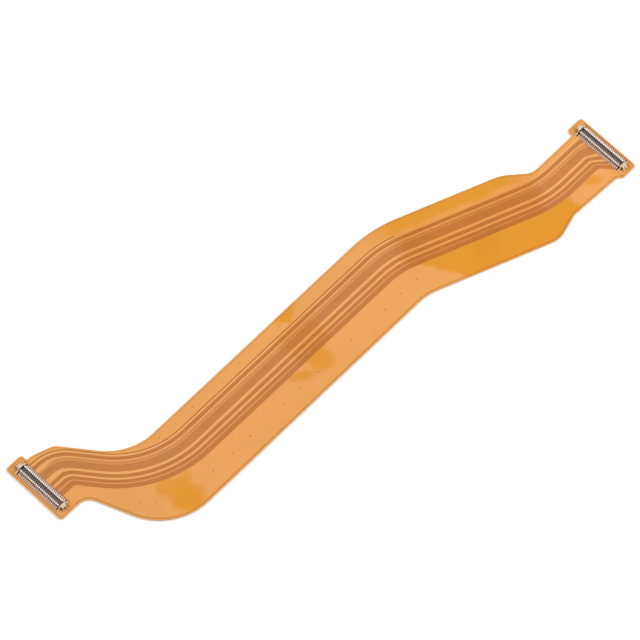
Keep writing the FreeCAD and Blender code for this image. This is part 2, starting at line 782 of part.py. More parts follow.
def check_and_write():
    """Stop if anything failed to build, and write each sub-part to its own file."""
    doc.recompute()
    for item in doc.Objects:
        if "Invalid" in item.State or "Error" in item.State:
            raise RuntimeError("%s failed: %s" % (item.Label, item.State))
    bodies = [item for item in doc.Objects if item.TypeId == "PartDesign::Body"]
    for body in bodies:
        if body.Shape.isNull() or not body.Shape.isValid():
            raise RuntimeError("%s has no valid shape" % body.Label)
    os.makedirs("parts", exist_ok=True)
    for body in bodies:
        body.Shape.exportStep("parts/%s.step" % body.Label)
        print(body.Label, len(body.Shape.Solids), round(body.Shape.Volume, 4))


build()
check_and_write()
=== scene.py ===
import bpy
import bmesh
import math
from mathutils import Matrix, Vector


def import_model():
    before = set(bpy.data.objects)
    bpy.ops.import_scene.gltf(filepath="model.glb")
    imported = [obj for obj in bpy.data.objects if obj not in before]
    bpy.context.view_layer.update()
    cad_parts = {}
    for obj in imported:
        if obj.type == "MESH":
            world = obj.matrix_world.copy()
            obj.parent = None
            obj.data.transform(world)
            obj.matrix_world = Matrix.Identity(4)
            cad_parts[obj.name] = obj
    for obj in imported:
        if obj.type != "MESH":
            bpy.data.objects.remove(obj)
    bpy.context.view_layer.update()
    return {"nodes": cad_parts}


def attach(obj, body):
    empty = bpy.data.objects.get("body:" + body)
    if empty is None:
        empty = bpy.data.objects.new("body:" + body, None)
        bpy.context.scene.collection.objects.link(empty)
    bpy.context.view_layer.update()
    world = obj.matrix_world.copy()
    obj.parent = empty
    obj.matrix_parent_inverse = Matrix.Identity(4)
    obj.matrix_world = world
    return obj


# Looks of the flat flexible circuit. Sizes are in millimetres and degrees, as in the model.
MM = 0.001

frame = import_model()

# Outline: the two heads, the middle run and the bent run
HALF_LENGTH = 54.85
HALF_WIDTH = 17.8
HEAD_A_EDGE = -51.35
HEAD_B_EDGE = 51.5
HEAD_A_LOW = HALF_WIDTH - 12.6
HEAD_B_TOP = -HALF_WIDTH + 12.4
SWEEP_ANGLE = -52.7
BEND_ANGLE = -21.35
RUN_Y = -2.01
RUN_HALF = 7.32
BENT_RUN_X = HEAD_B_EDGE - 11.2
BENT_RUN_WIDTH = 14.38
COPPER_INSET = 0.3
COPPER_CORNER = 0.3

# Outline, upper side: corners and radii from plug A to plug B
NECK_A_TOP = HALF_WIDTH - 1.3
NECK_A_END_X = HEAD_A_EDGE + 1.05
SHOULDER_A = (HEAD_A_EDGE + 4.8, HALF_WIDTH - 2.6)
SHOULDER_A_RADIUS = 2.0
UPPER_SWEEP_RADIUS = 10.5
BEND_RADIUS = 9.0
SHOULDER_B_X = HEAD_B_EDGE - 13.4
SHOULDER_B_RADIUS = 8.0
NECK_B_TOP = HEAD_B_TOP - 1.2
NECK_B_START_X = HEAD_B_EDGE - 9.5
NECK_B_RADIUS = 3.0

# Outline, lower side
BELLY_A_X = HEAD_A_EDGE + 2.1
BELLY_A_ANGLE = -68.7
BELLY_A_RADIUS = 2.3
LOWER_SWEEP_RADIUS = 11.0
BELLY_B_X = HEAD_B_EDGE - 14.95
BELLY_B_RADIUS = 4.3
LOW_NECK_B = (HEAD_B_EDGE - 10.1, -HALF_WIDTH + 1.15)
LOW_NECK_B_RADIUS = 2.0
LOW_HEAD_B = (HEAD_B_EDGE - 0.5, -HALF_WIDTH + 0.72)
LOW_HEAD_B_RADIUS = 0.3
LOW_END_X = HEAD_B_EDGE + 0.3

# Plugs
PLUG_A = (-52.95, 11.5)
PLUG_B = (53.23, -11.6)
PITCH = 0.35
CONTACTS = 25
CONTACT_WIDTH = 0.2
TAIL_REACH = 1.19
TAIL_THICKNESS = 0.06
LAND_REACH = 1.24
LEG_PLACE = 4.7
LEG_WIDTH = 0.25
WINDOW_MARGIN = 0.13

# Levels above the surface that the cable lies on
BASE_FILM_TOP = 0.26
LAND_TOP = 0.295
FILM_TOP = 0.335
RELIEF_TOP = 0.347
BED_TOP = 0.349
ZONE_TOP = 0.352
MARK_TOP = 0.355
WINDOW_BED_LOW = BASE_FILM_TOP - 0.005
WINDOW_BED_TOP = BASE_FILM_TOP + 0.006

# Tracks from the upper edge of the bundle to its lower edge: kind and width
TRACKS = [
    ("power", 0.39),
    ("deep_signal", 0.47),
    ("power", 0.28),
    ("pale_signal", 0.54),
    ("signal", 1.10),
    ("power", 0.48),
    ("deep_signal", 0.48),
    ("power", 0.38),
    ("deep_signal", 0.44),
    ("thin_power", 0.16),
    ("deep_signal", 0.65),
]
TRACK_GAP = 0.08
GROUND_GAP = 0.1
BUNDLE_TOP = (sum(width for kind, width in TRACKS) + TRACK_GAP * (len(TRACKS) - 1)) / 2
BUNDLE_LOW = -BUNDLE_TOP - GROUND_GAP
TRACE_PITCH = 0.125
TRACE_SHARE = 0.52

# Route of the bundle from plug A to plug B. The spreads widen it or narrow it in a stretch.
ENTRY_Y = PLUG_A[1] + 0.27
ENTRY_SPREAD = 1.19
ENTRY_RADIUS = 3.9
SWEEP_X = HEAD_A_EDGE + 3.18
SWEEP_SPREAD = 0.93
SWEEP_RADIUS = 18.0
BUNDLE_RUN_Y = RUN_Y + 1.645
BUNDLE_BEND_RADIUS = 17.9
BUNDLE_BENT_SHIFT = 1.225
NECK_RADIUS = 18.0
BUNDLE_NECK_Y = PLUG_B[1] + 1.03
EXIT_X = HEAD_B_EDGE - 1.3
EXIT_RADIUS = 1.0
EXIT_SPREAD = 1.36

# Dark lines: half widths, how far the lower one lies inside the copper's edge, and where one ends;
# the lines along the copper's edge are painted shade of its step
LOWER_LINE_HALF = 0.05
LOWER_LINE_INSIDE = 0.03
UPPER_LINE_HALF = 0.025
GAP_LINE_HALF = 0.075
GAP_LINE_END = 18.5

# Wide ends of two power tracks in front of plug A: offset of the upper side in the bundle, y of the
# lower side, and x where the upper and the lower side end
FLARES = [(2.14, 13.58, -47.3, -48.7), (0.07, 10.95, -48.0, -48.9)]

# Plated holes: middle x, y, and radius
VIAS = [(x, -6.2, 0.13) for x in (-31.8, -27.55, -23.4, -7.8, 0.0, 7.6, 11.5, 15.2)]
VIAS += [(x, -6.2, 0.11) for x in (-15.5, -11.75)]
VIAS += [(x, 4.0, 0.11) for x in (-33.8, -30.3, -26.2, -15.4)]
VIAS += [(x, 0.5, 0.12) for x in (-23.8, -8.1, -4.4, 3.7, 14.5)]
VIAS += [(-43.8, -1.6, 0.11), (-42.0, -3.5, 0.11), (3.8, -7.75, 0.09)]
VIAS += [(27.9, -2.85, 0.1), (22.7, -0.6, 0.1)]
VIAS += [(-51.1 + 0.3 * step, 12.7, 0.09) for step in range(6)]

# Rim of a plated hole: share of its radius, and height
VIA_PROFILE = [
    (1.0, RELIEF_TOP),
    (0.9, ZONE_TOP + 0.003),
    (0.5, ZONE_TOP + 0.004),
    (0.0, ZONE_TOP + 0.001),
]
VIA_SIDES = 12

# Solder fillet at the end of a contact tail: reach from the plug's middle, and height
FILLET_TOP = LAND_TOP + TAIL_THICKNESS * 0.85
FILLET_LOW = LAND_TOP - 0.005
FILLET = [
    (TAIL_REACH - 0.02, FILLET_LOW),
    (LAND_REACH, FILLET_LOW),
    (LAND_REACH, LAND_TOP + 0.004),
    (TAIL_REACH + 0.012, LAND_TOP + 0.025),
    (TAIL_REACH + 0.002, FILLET_TOP),
    (TAIL_REACH - 0.02, FILLET_TOP),
]
FILLET_HALF_SHARE = 0.47

ARC_STEPS = 14
SHORTEST = 1e-6


# Chains of rounded corners

def line_between(start, end):
    reach = math.dist(start[:2], end[:2])
    return start[0], start[1], (end[0] - start[0]) / reach, (end[1] - start[1]) / reach


def line_at(x, y, degrees):
    turn = math.radians(degrees)
    return x, y, math.cos(turn), math.sin(turn)


def moved_left(line, distance):
    x, y, along_x, along_y = line
    return x - along_y * distance, y + along_x * distance, along_x, along_y


def crossing(first, second):
    x, y, along_x, along_y = first
    other_x, other_y, other_along_x, other_along_y = second
    spread = along_x * other_along_y - along_y * other_along_x
    reach = ((other_x - x) * other_along_y - (other_y - y) * other_along_x) / spread
    return x + along_x * reach, y + along_y * reach


def bent_run(distance):
    """Line along the bent run at plug B, moved to its left."""
    return moved_left(line_at(BENT_RUN_X, PLUG_B[1], BEND_ANGLE), distance)


def shifted_chain(chain, distance):
    """An open chain moved to its left; its arcs keep their centres."""
    lines = [moved_left(line_between(a, b), distance) for a, b in zip(chain, chain[1:])]
    moved = [(lines[0][0], lines[0][1], 0)]
    for index in range(1, len(chain) - 1):
        (ax, ay, _), (bx, by, radius), (cx, cy, _) = chain[index - 1:index + 2]
        side = math.copysign(1, (bx - ax) * (cy - by) - (by - ay) * (cx - bx))
        moved.append((*crossing(lines[index - 1], lines[index]), max(radius - side * distance, 0)))
    end_x, end_y, along_x, along_y = lines[-1]
    reach = math.dist(chain[-2][:2], chain[-1][:2])
    return moved + [(end_x + along_x * reach, end_y + along_y * reach, 0)]


def cut_at(chain, start_x, end_x):
    x, y, along_x, along_y = line_between(chain[0], chain[1])
    start = (start_x, y + (start_x - x) * along_y / along_x, 0)
    x, y, along_x, along_y = line_between(chain[-2], chain[-1])
    end = (end_x, y + (end_x - x) * along_y / along_x, 0)
    return [start] + chain[1:-1] + [end]


def rounded(chain):
    """Points of an open chain, the same number on each arc."""
    tangents = [0.0]
    for index in range(1, len(chain) - 1):
        in_x, in_y = line_between(chain[index - 1], chain[index])[2:]
        out_x, out_y = line_between(chain[index], chain[index + 1])[2:]
        cosine = max(-1.0, min(1.0, in_x * out_x + in_y * out_y))
        tangents.append(chain[index][2] * math.tan(math.acos(cosine) / 2))
    tangents.append(0.0)
    points = [chain[0][:2]]
    for index in range(1, len(chain) - 1):
        share = 1.0
        for neighbour in (index - 1, index + 1):
            edge = math.dist(chain[index][:2], chain[neighbour][:2])
            both = tangents[index] + tangents[neighbour]
            if both > edge:
                share = min(share, edge / both)
        points += corner_points(chain[index - 1:index + 2], tangents[index] * share)
    return points + [chain[-1][:2]]


def corner_points(corners, tangent):
    before, corner, after = [Vector(point[:2]) for point in corners]
    inward = (before - corner).normalized()
    outward = (after - corner).normalized()
    if tangent < SHORTEST:
        return [tuple(corner)]
    start = corner + inward * tangent
    end = corner + outward * tangent
    half = math.acos(max(-1.0, min(1.0, inward.dot(outward)))) / 2
    centre = corner + (inward + outward).normalized() * (tangent / math.cos(half))
    first, last = start - centre, end - centre
    turn = math.atan2(first.x * last.y - first.y * last.x, first.dot(last))
    points = []
    for step in range(ARC_STEPS + 1):
        angle = turn * step / ARC_STEPS
        cosine, sine = math.cos(angle), math.sin(angle)
        points.append((centre.x + first.x * cosine - first.y * sine,
                       centre.y + first.x * sine + first.y * cosine))
    return points


def bundle_chain(offset):
    """A line of the bundle at an offset to the left of its centre line, from plug A to plug B."""
    entry_y = ENTRY_Y + offset * ENTRY_SPREAD
    entry_line = line_at(0, entry_y, 0)
    sweep_line = moved_left(line_at(SWEEP_X, ENTRY_Y, SWEEP_ANGLE), offset * SWEEP_SPREAD)
    main_line = line_at(0, BUNDLE_RUN_Y + offset, 0)
    bent_line = bent_run(BUNDLE_BENT_SHIFT + offset)
    neck_y = BUNDLE_NECK_Y + offset
    neck_line = line_at(0, neck_y, 0)
    return [
        (PLUG_A[0] + LAND_REACH, entry_y, 0),
        (*crossing(entry_line, sweep_line), ENTRY_RADIUS + offset),
        (*crossing(sweep_line, main_line), SWEEP_RADIUS - offset),
        (*crossing(main_line, bent_line), BUNDLE_BEND_RADIUS + offset),
        (*crossing(bent_line, neck_line), NECK_RADIUS - offset),
        (EXIT_X, neck_y, EXIT_RADIUS),
        (PLUG_B[0] - LAND_REACH, PLUG_B[1] + offset * EXIT_SPREAD, 0),
    ]


def film_upper_chain():
    main_line = line_at(0, RUN_Y + RUN_HALF, 0)
    bent_line = bent_run(BENT_RUN_WIDTH - RUN_HALF)
    return [
        (HEAD_A_EDGE, NECK_A_TOP, 0),
        (NECK_A_END_X, NECK_A_TOP, SHOULDER_A_RADIUS),
        (*SHOULDER_A, SHOULDER_A_RADIUS),
        (*crossing(line_at(*SHOULDER_A, SWEEP_ANGLE), main_line), UPPER_SWEEP_RADIUS),
        (*crossing(main_line, bent_line), BEND_RADIUS + RUN_HALF * 2),
        (SHOULDER_B_X, crossing(bent_line, line_at(SHOULDER_B_X, 0, 90))[1], SHOULDER_B_RADIUS),
        (NECK_B_START_X, NECK_B_TOP, NECK_B_RADIUS),
        (HEAD_B_EDGE, NECK_B_TOP, 0),
    ]


def film_lower_chain():
    main_line = line_at(0, RUN_Y - RUN_HALF, 0)
    bent_line = bent_run(-RUN_HALF)
    belly_line = line_at(BELLY_A_X, HEAD_A_LOW, BELLY_A_ANGLE)
    return [
        (HEAD_A_EDGE, HEAD_A_LOW, 0),
        (BELLY_A_X, HEAD_A_LOW, BELLY_A_RADIUS),
        (*crossing(belly_line, main_line), LOWER_SWEEP_RADIUS),
        (*crossing(main_line, bent_line), BEND_RADIUS),
        (BELLY_B_X, crossing(bent_line, line_at(BELLY_B_X, 0, 90))[1], BELLY_B_RADIUS),
        (*LOW_NECK_B, LOW_NECK_B_RADIUS),
        (*LOW_HEAD_B, LOW_HEAD_B_RADIUS),
        (LOW_END_X, -HALF_WIDTH, 0),
    ]


def head_chains():
    """Lines at the copper's inset round the two heads, open where the necks join them."""
    left, right = -HALF_LENGTH + COPPER_INSET, HALF_LENGTH - COPPER_INSET
    top, low = HALF_WIDTH - COPPER_INSET, -HALF_WIDTH + COPPER_INSET
    low_a, top_b = HEAD_A_LOW + COPPER_INSET, HEAD_B_TOP - COPPER_INSET
    neck_a_x, neck_b_x = HEAD_A_EDGE - COPPER_INSET, HEAD_B_EDGE + COPPER_INSET
    round_a = [
        (HEAD_A_EDGE, low_a, 0),
        (left, low_a, COPPER_CORNER),
        (left, top, COPPER_CORNER),
        (neck_a_x, top, COPPER_CORNER),
        (neck_a_x, NECK_A_TOP - COPPER_INSET, 0),
    ]
    round_b = [
        (neck_b_x, low, 0),
        (right, low, COPPER_CORNER),
        (right, top_b, COPPER_CORNER),
        (neck_b_x, top_b, COPPER_CORNER),
        (neck_b_x, NECK_B_TOP - COPPER_INSET, 0),
    ]
    return round_a, round_b


# Meshes

def new_piece(name, bm, material):
    bmesh.ops.recalc_face_normals(bm, faces=bm.faces)
    bmesh.ops.triangulate(bm, faces=[face for face in bm.faces if len(face.verts) > 4])
    mesh = bpy.data.meshes.new(name)
    bm.to_mesh(mesh)
    bm.free()
    mesh.materials.append(material)
    piece = bpy.data.objects.new(name, mesh)
    bpy.context.scene.collection.objects.link(piece)
    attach(piece, "root")


def new_vertices(bm, points):
    return [bm.verts.new(Vector(point) * MM) for point in points]


def add_skin(bm, rings):
    """Faces between rings of vertices that follow each other."""
    for ring, following in zip(rings, rings[1:]):
        for side in range(len(ring)):
            nearby = (side + 1) % len(ring)
            bm.faces.new((ring[side], ring[nearby], following[nearby], following[side]))


def add_ribbon(bm, first, second, low, high):
    """Closed bar between two lines of points."""
    rings = []
    for (ax, ay), (bx, by) in zip(first, second):
        section = [(ax, ay, low), (bx, by, low), (bx, by, high), (ax, ay, high)]
        rings.append(new_vertices(bm, section))
    add_skin(bm, rings)
    bm.faces.new(rings[0][::-1])
    bm.faces.new(rings[-1])


def add_line(bm, chain, half_width, low, high):
    """Closed bar along a chain."""
    sides = [rounded(shifted_chain(chain, side * half_width)) for side in (1, -1)]
    add_ribbon(bm, *sides, low, high)


def add_plate(bm, outline, low, high):
    """Closed plate with an upright edge all round."""
    bottom = new_vertices(bm, [(x, y, low) for x, y in outline])
    top = new_vertices(bm, [(x, y, high) for x, y in outline])
    bm.faces.new(bottom[::-1])
    bm.faces.new(top)
    add_skin(bm, [bottom, top])


def add_via(bm, x, y, radius):
    """Closed round rim, from the via profile."""
    rings = []
    for share, height in VIA_PROFILE[:-1]:
        reach = radius * share
        turns = [math.tau * side / VIA_SIDES for side in range(VIA_SIDES)]
        points = [(x + reach * math.cos(turn), y + reach * math.sin(turn), height)
                  for turn in turns]
        rings.append(new_vertices(bm, points))
    add_skin(bm, rings)
    tip = new_vertices(bm, [(x, y, VIA_PROFILE[-1][1])])[0]
    for side in range(VIA_SIDES):
        bm.faces.new((rings[-1][side], rings[-1][(side + 1) % VIA_SIDES], tip))
    bm.faces.new(rings[0][::-1])


# Materials

# Noise scales in cycles per metre, and heights of bumps in metres
DRIFT_SCALE = 120.0
SPECKLE_SCALE = 900.0
WAVE_SCALE, WAVE_HEIGHT = 70.0, 0.0006
FILM_GRAIN_SCALE, FILM_GRAIN_HEIGHT = 2500.0, 0.000003
CONTACT_GRAIN_SCALE = 18000.0
METAL_TONE_SCALE = 9000.0
METAL_GRAIN_HEIGHT = 0.000002
STEEL_TONE_SCALE = 5000.0
PLASTIC_TONE_SCALE = 6000.0
PLASTIC_GRAIN_SCALE, PLASTIC_GRAIN_HEIGHT = 20000.0, 0.000003

# Part of the noise over which one tone turns into the other
TONE_LOW, TONE_HIGH = 0.35, 0.65

# Heights at which a contact's tone changes: tail to wall, and wall to the top with its painted
# highlight
TAIL_TONE_END, WALL_TONE_START = 0.38, 0.5
WALL_TONE_END, TOP_HIGHLIGHT_START = 0.86, 0.93

# Film: how far its patches are moved about by noise
RAGGED_SCALE = 260.0
RAGGED_REACH = 1.8


def linear(srgb):
    def channel(value):
        value = min(value, 255) / 255
        return value / 12.92 if value <= 0.04045 else ((value + 0.055) / 1.055) ** 2.4
    return (*[channel(value) for value in srgb], 1.0)


def new_material(name, roughness, metallic=0.0, specular=0.5):
    material = bpy.data.materials.new(name)
    material.use_nodes = True
    shader = material.node_tree.nodes["Principled BSDF"]
    shader.inputs["Roughness"].default_value = roughness
    shader.inputs["Metallic"].default_value = metallic
    shader.inputs["Specular IOR Level"].default_value = specular
    return material, material.node_tree, shader


def own_space(tree, kind="Object"):
    """Coordinates or normal in the object's own space."""
    return tree.nodes.new("ShaderNodeTexCoord").outputs[kind]


def height_of(tree, vector):
    axes = tree.nodes.new("ShaderNodeSeparateXYZ")
    tree.links.new(vector, axes.inputs[0])
    return axes.outputs["Z"]


def noise(tree, scale, detail=2.0):
    texture = tree.nodes.new("ShaderNodeTexNoise")
    texture.inputs["Scale"].default_value = scale
    texture.inputs["Detail"].default_value = detail
    tree.links.new(own_space(tree), texture.inputs["Vector"])
    return texture.outputs["Fac"]


def mixed_colour(tree, factor, first, second):
    ramp = tree.nodes.new("ShaderNodeValToRGB")
    stops = ramp.color_ramp.elements
    stops[0].position, stops[0].color = TONE_LOW, linear(first)
    stops[1].position, stops[1].color = TONE_HIGH, linear(second)
    tree.links.new(factor, ramp.inputs["Fac"])
    return ramp.outputs["Color"]


def blended(tree, factor, first, second):
    mix = tree.nodes.new("ShaderNodeMix")
    mix.data_type = "RGBA"
    tree.links.new(factor, mix.inputs["Factor"])
    tree.links.new(first, mix.inputs["A"])
    tree.links.new(second, mix.inputs["B"])
    return mix.outputs["Result"]


def bump(tree, height, distance, under=None):
    node = tree.nodes.new("ShaderNodeBump")
    node.inputs["Distance"].default_value = distance
    tree.links.new(height, node.inputs["Height"])
    if under:
        tree.links.new(under, node.inputs["Normal"])
    return node.outputs["Normal"]


def larger(tree, first, second):
    node = tree.nodes.new("ShaderNodeMath")
    node.operation = "MAXIMUM"
    tree.links.new(first, node.inputs[0])
    tree.links.new(second, node.inputs[1])
    return node.outputs[0]


def ragged_place(tree):
    """The object's own space, moved about a little by noise."""
    place = own_space(tree)
    ragged = tree.nodes.new("ShaderNodeTexNoise")
    ragged.inputs["Scale"].default_value = RAGGED_SCALE
    tree.links.new(place, ragged.inputs["Vector"])
    moved = tree.nodes.new("ShaderNodeVectorMath")
    moved.operation = "MULTIPLY_ADD"
    moved.inputs[1].default_value = (RAGGED_REACH * MM,) * 3
    tree.links.new(ragged.outputs["Color"], moved.inputs[0])
    tree.links.new(place, moved.inputs[2])
    return moved.outputs[0]


def patch_share(tree, place, patch):
    """1 inside a round or square patch and 0 outside, with a soft edge."""
    form, x, y, half_x, half_y, degrees, weight, blur = patch
    local = tree.nodes.new("ShaderNodeMapping")
    local.vector_type = "TEXTURE"
    middle = [(value + RAGGED_REACH / 2) * MM for value in (x, y)]
    local.inputs["Location"].default_value = (*middle, 0)
    local.inputs["Rotation"].default_value = (0, 0, math.radians(degrees))
    local.inputs["Scale"].default_value = (half_x * MM, half_y * MM, 1)
    tree.links.new(place, local.inputs["Vector"])
    vector = tree.nodes.new("ShaderNodeVectorMath")
    tree.links.new(local.outputs[0], vector.inputs[0])
    if form == "round":
        vector.operation = "LENGTH"
        reach = vector.outputs["Value"]
    else:
        vector.operation = "ABSOLUTE"
        axes = tree.nodes.new("ShaderNodeSeparateXYZ")
        tree.links.new(vector.outputs["Vector"], axes.inputs[0])
        reach = larger(tree, axes.outputs["X"], axes.outputs["Y"])
    fade = tree.nodes.new("ShaderNodeMapRange")
    fade.interpolation_type = "SMOOTHSTEP"
    fade.inputs["From Min"].default_value = 1.0 + blur / min(half_x, half_y)
    fade.inputs["From Max"].default_value = 1.0 - blur / min(half_x, half_y)
    fade.inputs["To Max"].default_value = weight
    tree.links.new(reach, fade.inputs["Value"])
    return fade.outputs[0]


def shaded(colour, factor):
    return [value * factor for value in colour]


def film_material(name, main_colour, clear=None, patches=(), specular=0.25):
    """Glossy film: its main colour, which carries a painted sheen where the film has patches, and
    in the patches a deeper colour without that painted sheen; slow waves and a faint grain.
    """
    material, tree, shader = new_material(name, roughness=0.18, specular=specular)
    drift = noise(tree, DRIFT_SCALE, 3.0)
    speckle = noise(tree, SPECKLE_SCALE, 3.0)
    darker = mixed_colour(tree, drift, shaded(main_colour, 0.978), main_colour)
    brighter = mixed_colour(tree, drift, main_colour, shaded(main_colour, 1.02))
    tone = blended(tree, speckle, darker, brighter)
    if patches:
        place = ragged_place(tree)
        share = patch_share(tree, place, patches[0])
        for patch in patches[1:]:
            share = larger(tree, share, patch_share(tree, place, patch))
        # In the patches the painted sheen is left out of the colour
        sheenless_tone = mixed_colour(tree, drift, shaded(clear, 0.97), clear)
        tone = blended(tree, share, tone, sheenless_tone)
    tree.links.new(tone, shader.inputs["Base Color"])
    waves = bump(tree, noise(tree, WAVE_SCALE, 1.0), WAVE_HEIGHT)
    grain = bump(tree, noise(tree, FILM_GRAIN_SCALE), FILM_GRAIN_HEIGHT, waves)
    tree.links.new(grain, shader.inputs["Normal"])
    return material


def contact_material(name, tail, wall, top):
    """Contact metal: warm and dull on the tails, with a painted highlight that makes it brighter
    towards the rim of the housing.
    """
    material, tree, shader = new_material(name, roughness=0.3, metallic=1.0)
    height = tree.nodes.new("ShaderNodeMath")
    height.operation = "DIVIDE"
    height.inputs[1].default_value = MM
    tree.links.new(height_of(tree, own_space(tree)), height.inputs[0])
    ramp = tree.nodes.new("ShaderNodeValToRGB")
    stops = ramp.color_ramp.elements
    stops[0].position, stops[0].color = TAIL_TONE_END, linear(tail)
    stops[1].position, stops[1].color = WALL_TONE_START, linear(wall)
    stops.new(WALL_TONE_END).color = linear(wall)
    stops.new(TOP_HIGHLIGHT_START).color = linear(top)
    tree.links.new(height.outputs[0], ramp.inputs["Fac"])
    tree.links.new(ramp.outputs["Color"], shader.inputs["Base Color"])
    grain = bump(tree, noise(tree, CONTACT_GRAIN_SCALE), METAL_GRAIN_HEIGHT)
    tree.links.new(grain, shader.inputs["Normal"])
    return material


def metal_material(name, first, second, roughness, tone_scale=METAL_TONE_SCALE):
    """Plain metal of two close tones, its grain twice as fine as they are."""
    material, tree, shader = new_material(name, roughness=roughness, metallic=1.0)
    tone = noise(tree, tone_scale)
    tree.links.new(mixed_colour(tree, tone, first, second), shader.inputs["Base Color"])
    grain = bump(tree, noise(tree, tone_scale * 2), METAL_GRAIN_HEIGHT)
    tree.links.new(grain, shader.inputs["Normal"])
    return material


def plastic_material(name, side, top, roughness):
    """Moulded plastic with painted shade: darker on its sides than on the faces that look up."""
    material, tree, shader = new_material(name, roughness=roughness)
    tone = noise(tree, PLASTIC_TONE_SCALE, 3.0)
    shaded_side_tone = mixed_colour(tree, tone, side, shaded(side, 1.15))
    lit_top_tone = mixed_colour(tree, tone, top, shaded(top, 1.1))
    rising = tree.nodes.new("ShaderNodeClamp")
    tree.links.new(height_of(tree, own_space(tree, "Normal")), rising.inputs["Value"])
    colour = blended(tree, rising.outputs[0], shaded_side_tone, lit_top_tone)
    tree.links.new(colour, shader.inputs["Base Color"])
    grain = bump(tree, noise(tree, PLASTIC_GRAIN_SCALE), PLASTIC_GRAIN_HEIGHT)
    tree.links.new(grain, shader.inputs["Normal"])
    return material


# Places where the film's colour is left without its painted sheen, so it looks deeper: form, middle
# x, y, half sizes, turn, share, and half width of the soft edge
LOWER_SHEENLESS_PATCHES = [
    ("round", -37.9, -6.5, 2.7, 2.3, 0, 1.0, 0.8),
    ("round", -37.7, -4.2, 2.3, 1.7, 0, 0.85, 0.7),
    ("round", -38.8, -3.0, 1.8, 1.3, -20, 0.75, 0.5),
    ("round", -36.2, -4.0, 1.5, 1.1, 0, 0.6, 0.6),
    ("square", -5.9, -4.4, 1.9, 1.9, 0, 0.85, 0.7),
    ("round", -5.9, -5.9, 1.8, 1.5, 0, 0.75, 0.7),
    ("round", -10.1, -4.75, 2.2, 0.8, -38, 0.8, 0.4),
    ("square", 24.5, -5.2, 6.0, 8.0, 31.0, 1.0, 0.4),
    ("square", 33.0, -12.0, 10.0, 10.0, 0, 1.0, 0.5),
    ("round", 47.9, -14.5, 1.5, 0.8, -30, 0.75, 0.4),
]
UPPER_SHEENLESS_PATCHES = [
    ("square", -4.3, 5.9, 2.2, 2.2, 45, 0.95, 0.4),
    ("round", -4.2, 4.6, 2.2, 0.9, 0, 0.7, 0.5),
    ("square", 28.9, 0.4, 12.6, 2.6, -21.35, 0.95, 0.8),
]
BUNDLE_SHEENLESS_PATCHES = [
    ("square", -5.2, -0.4, 3.2, 5.0, 0, 0.6, 0.9),
    ("square", 28.6, -5.2, 12.6, 9.0, -21.35, 0.85, 1.2),
]

# Film with patches: its tone with a painted sheen, its deeper tone without that painted sheen in
# the patches, and the patches
lower_look = film_material(
    "amber_over_lower_copper", (236, 163, 84), (231, 149, 16), LOWER_SHEENLESS_PATCHES)
upper_look = film_material(
    "amber_over_upper_copper", (236, 163, 84), (231, 151, 20), UPPER_SHEENLESS_PATCHES)
power_look = film_material(
    "film_over_power_track", (239, 171, 98), (230, 155, 58), BUNDLE_SHEENLESS_PATCHES)
trace_look = film_material(
    "film_over_trace", (211, 136, 68), (206, 123, 30), BUNDLE_SHEENLESS_PATCHES)
deep_trace_look = film_material(
    "film_over_deep_trace", (205, 125, 53), (202, 116, 22), BUNDLE_SHEENLESS_PATCHES)
pale_trace_look = film_material(
    "film_over_pale_trace", (236, 164, 92), (216, 140, 50), BUNDLE_SHEENLESS_PATCHES)
bed_look = film_material(
    "film_between_traces", (190, 115, 54), (188, 106, 22), BUNDLE_SHEENLESS_PATCHES)
film_look = film_material(
    "film_over_film", (232, 163, 84), (229, 153, 50), LOWER_SHEENLESS_PATCHES + UPPER_SHEENLESS_PATCHES)

# Film without patches
base_look = film_material("base_film", (228, 156, 74))
# Line along the copper's edge: painted shade of the copper's step
edge_line_and_shade_look = film_material("film_at_copper_edge", (182, 106, 26), specular=0.1)
gap_look = film_material("film_over_gap", (170, 94, 10), specular=0.1)
via_look = film_material("film_over_via", (176, 98, 26), specular=0.1)
# Film in the windows: partly its own dark colour, partly painted shade between the contact tails
window_bed_and_shade_look = film_material("film_in_window_and_shade", (32, 20, 16), specular=0.05)

# Plugs, lands and stiffeners
# Housing: its dark tone on the faces that don't look up is painted shade
housing_look = plastic_material("housing_plastic", (58, 44, 38), (116, 99, 88), 0.42)
# Contact tones: tail, wall, and a near-white top that is a painted highlight
contact_look = contact_material(
    "contact_metal", (222, 192, 174), (218, 196, 184), (254, 246, 238))
hold_down_look = metal_material("hold_down_metal", (214, 190, 160), (232, 208, 178), 0.38)
solder_look = metal_material("solder", (208, 178, 160), (222, 192, 174), 0.35)
land_look = metal_material("land_metal", (176, 126, 88), (192, 142, 100), 0.4)
copper_look = metal_material("copper_foil", (196, 118, 72), (208, 132, 84), 0.4)
steel_look = metal_material(
    "stiffener_steel", (174, 174, 172), (182, 182, 180), 0.38, STEEL_TONE_SCALE)

TRACK_LOOKS = {
    "power": power_look,
    "thin_power": pale_trace_look,
    "signal": trace_look,
    "pale_signal": pale_trace_look,
    "deep_signal": deep_trace_look,
}

NODE_LOOKS = [
    ("stiffener_", steel_look),
    ("base_film", base_look),
    ("cover_film", film_look),
    ("power_track_", copper_look),
    ("signal_tracks_", copper_look),
    ("ground_copper_", copper_look),
    ("lands_", land_look),
    ("housing_", housing_look),
    ("contacts_", contact_look),
    ("hold_down_", hold_down_look),
]
for name, node in frame["nodes"].items():
    look = next(material for start, material in NODE_LOOKS if name.startswith(start))
    node.data.materials.clear()
    node.data.materials.append(look)


# What shows of the copper through the cover film

